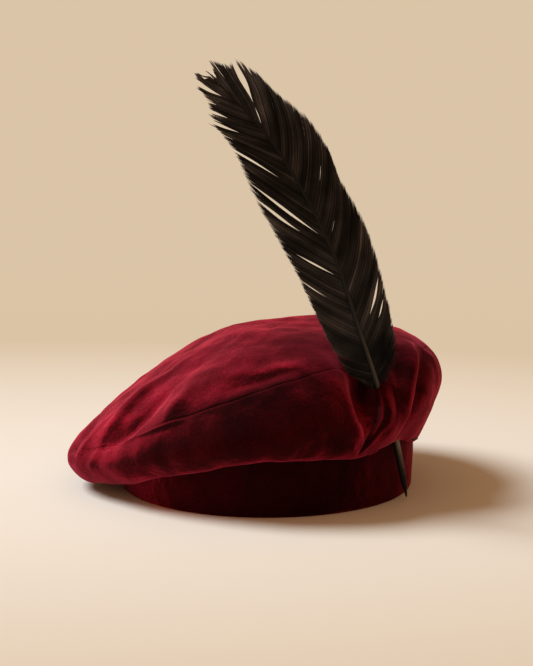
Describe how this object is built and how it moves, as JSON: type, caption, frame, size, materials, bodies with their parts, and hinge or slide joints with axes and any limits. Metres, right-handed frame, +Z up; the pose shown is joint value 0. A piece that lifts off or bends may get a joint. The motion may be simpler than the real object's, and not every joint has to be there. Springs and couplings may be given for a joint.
{
  "type": "tilt hat",
  "caption": "Soft velvet beret worn on the tilt: two sewn crown panels on a plain band, with a dark feather pushed through a pleat of the crown.",
  "frame": {"origin": "under the middle of the part's box, on the plane that the band stands on", "axes": "+X to the high side with the feather, +Y to the back of the head, +Z up; the crown hangs low on the -X side"},
  "size_m": [0.2464, 0.2228, 0.2791],
  "materials": {
    "crown_velvet": "burgundy cotton velvet, dark where it faces the eye and rosy where the pile is seen edge on",
    "band_velvet": "the same velvet, stretched smooth over the band",
    "feather_vane": "black-brown barbs with a soft silky sheen, a few splits and frayed ends",
    "feather_quill": "grey-brown horn, nearly black towards the tip, satin"
  },
  "bodies": {
    "root": {"headband": "band_velvet", "crown_side_panel": "crown_velvet", "crown_top_panel": "crown_velvet", "feather": "feather_vane"}
  },
  "joints": []
}
